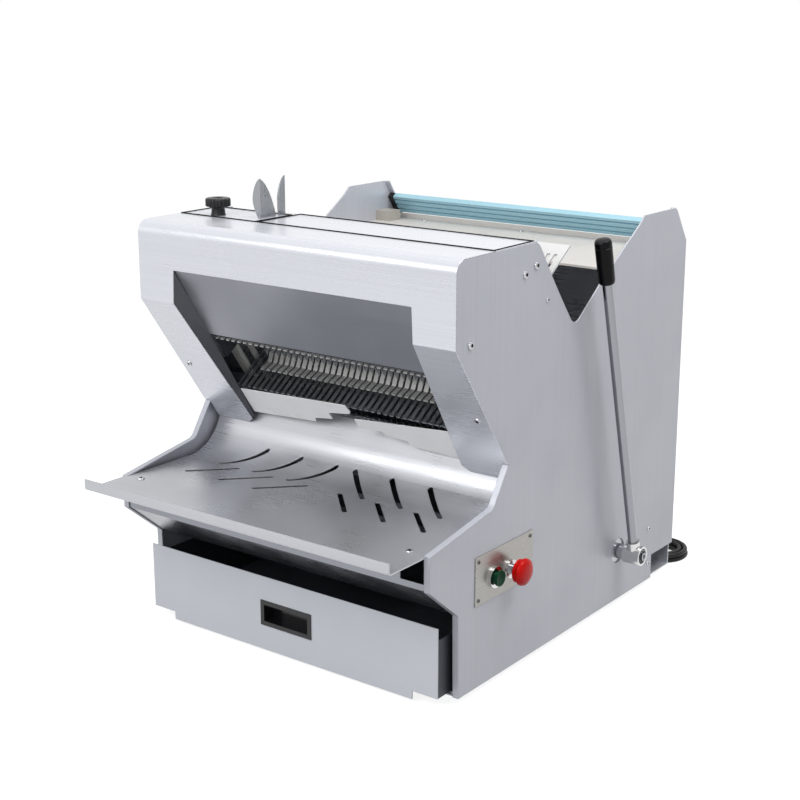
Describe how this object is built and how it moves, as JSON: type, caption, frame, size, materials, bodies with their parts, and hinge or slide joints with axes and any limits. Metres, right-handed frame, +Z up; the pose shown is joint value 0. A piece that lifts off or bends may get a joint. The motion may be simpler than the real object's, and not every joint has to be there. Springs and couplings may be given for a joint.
{
  "type": "bread slicer",
  "caption": "Free-standing bread slicer with sloping blade frames, a lever-driven pusher, a slotted slice tray and a crumb drawer.",
  "frame": {"origin": "middle of the footprint box, cord left out, on the floor under the feet", "axes": "+X to the operator's right hand side with the lever, +Y from the slice tray to the back, +Z up"},
  "size_m": [0.651, 0.928, 0.711],
  "materials": {
    "satin_steel": "satin silver-grey sheet",
    "bright_steel": "bright brushed stainless sheet",
    "drawer_grey": "light grey satin paint",
    "dark_grey": "dark grey paint",
    "warm_grey": "warm grey satin paint",
    "rail_blue": "light blue anodised extrusion",
    "black_plastic": "black plastic",
    "guide_plastic": "white sliding plastic",
    "rubber": "black rubber",
    "cord_black": "black cord sheath",
    "blade_steel": "ground blade steel",
    "machined": "machined steel",
    "chrome": "bright plated steel",
    "motor_paint": "blue-grey machine paint",
    "cast": "painted casting",
    "green": "deep green plastic",
    "red": "bright red plastic"
  },
  "bodies": {
    "machine": {"apron_plate": "satin_steel", "bag_leaves": "bright_steel", "base_plate": "satin_steel", "button_collars": "chrome", "channel_sides": "bright_steel", "chute_comb": "bright_steel", "comb_bars": "dark_grey", "contact_box": "dark_grey", "control_plate": "bright_steel", "cord_coil": "cord_black", "cord_gland": "black_plastic", "cord_lead": "cord_black", "cord_plug": "black_plastic", "cord_tail": "cord_black", "crank_box": "cast", "cross_beam": "dark_grey", "drive_belt": "rubber", "front_hood": "satin_steel", "funnel_cheeks": "bright_steel", "guide_brackets": "dark_grey", "motor": "motor_paint", "motor_stand": "dark_grey", "out_tray": "bright_steel", "panel_screws": "chrome", "plate_screws": "chrome", "rail_ends": "black_plastic", "rear_cover": "satin_steel", "rear_rail": "rail_blue", "rear_shelf": "warm_grey", "rubber_feet": "rubber", "shaft_bearings": "machined", "sheet_screws": "chrome", "side_panel_left": "satin_steel", "side_panel_right": "satin_steel", "slice_stops": "bright_steel", "slide_guides": "guide_plastic", "top_lids": "satin_steel", "tray_bar": "dark_grey", "upper_funnel_plate": "bright_steel", "upper_guide_comb": "bright_steel"},
    "pusher": {"pusher_frame": "machined", "pusher_shaft": "machined", "pusher_comb": "bright_steel", "lever_hub": "machined", "lever_rod": "chrome", "lever_grip": "black_plastic", "lever_hub_screw": "chrome"},
    "front_blade_frame": {"blade_frame_front": "machined", "blades_front": "blade_steel"},
    "rear_blade_frame": {"blade_frame_rear": "machined", "blades_rear": "blade_steel"},
    "crank": {"crank_shaft": "machined"},
    "motor_rotor": {"motor_pulley": "machined"},
    "drawer": {"drawer_box": "dark_grey", "drawer_front": "drawer_grey", "drawer_handle": "black_plastic"},
    "start_key": {"start_button": "green"},
    "stop_plunger": {"stop_stem": "chrome"},
    "stop_head": {"stop_button": "red"},
    "knob": {"lid_knob": "black_plastic"}
  },
  "joints": [
    {"name": "pusher_swing", "type": "hinge", "parent": "machine", "child": "pusher", "pos_m": [-0.0225, 0.20075, 0.098], "axis": [-1, 0, 0], "range_deg": [0, 36.5]},
    {"name": "front_frame_stroke", "type": "slide", "parent": "machine", "child": "front_blade_frame", "axis": [0, -0.5703, 0.8214], "range_m": [-0.012, 0.012]},
    {"name": "rear_frame_stroke", "type": "slide", "parent": "machine", "child": "rear_blade_frame", "axis": [0, -0.5703, 0.8214], "range_m": [-0.012, 0.012]},
    {"name": "crank_spin", "type": "hinge", "parent": "machine", "child": "crank", "pos_m": [-0.0225, 0.00774, 0.25308], "axis": [1, 0, 0], "continuous": true},
    {"name": "motor_spin", "type": "hinge", "parent": "machine", "child": "motor_rotor", "pos_m": [-0.0225, 0.28575, 0.207], "axis": [1, 0, 0], "continuous": true},
    {"name": "drawer_slide", "type": "slide", "parent": "machine", "child": "drawer", "axis": [0, -1, 0], "range_m": [0, 0.26]},
    {"name": "start_press", "type": "slide", "parent": "machine", "child": "start_key", "axis": [-1, 0, 0], "range_m": [0, 0.003], "stiffness_N_per_m": 600},
    {"name": "stop_press", "type": "slide", "parent": "machine", "child": "stop_plunger", "axis": [-1, 0, 0], "range_m": [0, 0.004]},
    {"name": "stop_turn", "type": "hinge", "parent": "stop_plunger", "child": "stop_head", "pos_m": [0.2775, -0.13125, 0.172], "axis": [1, 0, 0], "range_deg": [0, 45], "stiffness_Nm_per_rad": 0.05},
    {"name": "knob_turn", "type": "hinge", "parent": "machine", "child": "knob", "pos_m": [-0.2585, -0.16125, 0.649], "axis": [0, 0, 1], "range_deg": [0, 720]}
  ],
  "couplings": [
    {"joint": "rear_frame_stroke", "follows": "front_frame_stroke", "ratio": -1},
    {"joint": "motor_spin", "follows": "crank_spin", "ratio": 2}
  ]
}
